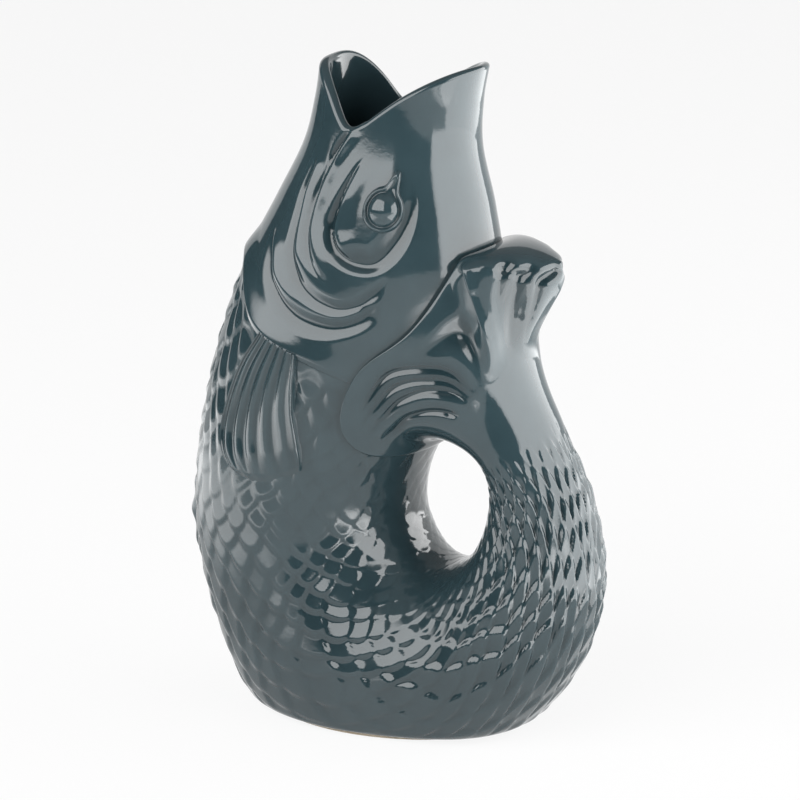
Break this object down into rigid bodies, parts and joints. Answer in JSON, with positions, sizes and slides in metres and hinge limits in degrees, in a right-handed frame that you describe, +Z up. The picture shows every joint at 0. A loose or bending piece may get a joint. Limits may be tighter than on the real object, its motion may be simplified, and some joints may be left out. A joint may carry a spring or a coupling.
{
  "type": "gurgle jug",
  "caption": "Glazed ceramic pouring jug shaped as a leaping fish: the open mouth is the spout and the hollow tail curls up to the head as the handle.",
  "frame": {"origin": "on the table plane, below the middle of the jug's length and width", "axes": "+Z up, +X from the belly towards the tail handle, +Y across to the fish's right flank, which the picture does not show"},
  "size_m": [0.2067, 0.1054, 0.3],
  "materials": {
    "glaze": "glossy dark blue-grey ceramic glaze",
    "bisque": "unglazed fired clay"
  },
  "bodies": {
    "root": {"head_shell": "glaze", "body_shell": "glaze", "tail_handle": "glaze", "tail_fin": "glaze", "pectoral_fin_left": "glaze", "pectoral_fin_right": "glaze", "belly_fin": "glaze", "eye_left": "glaze", "eye_right": "glaze", "foot_ring": "bisque"}
  },
  "joints": []
}
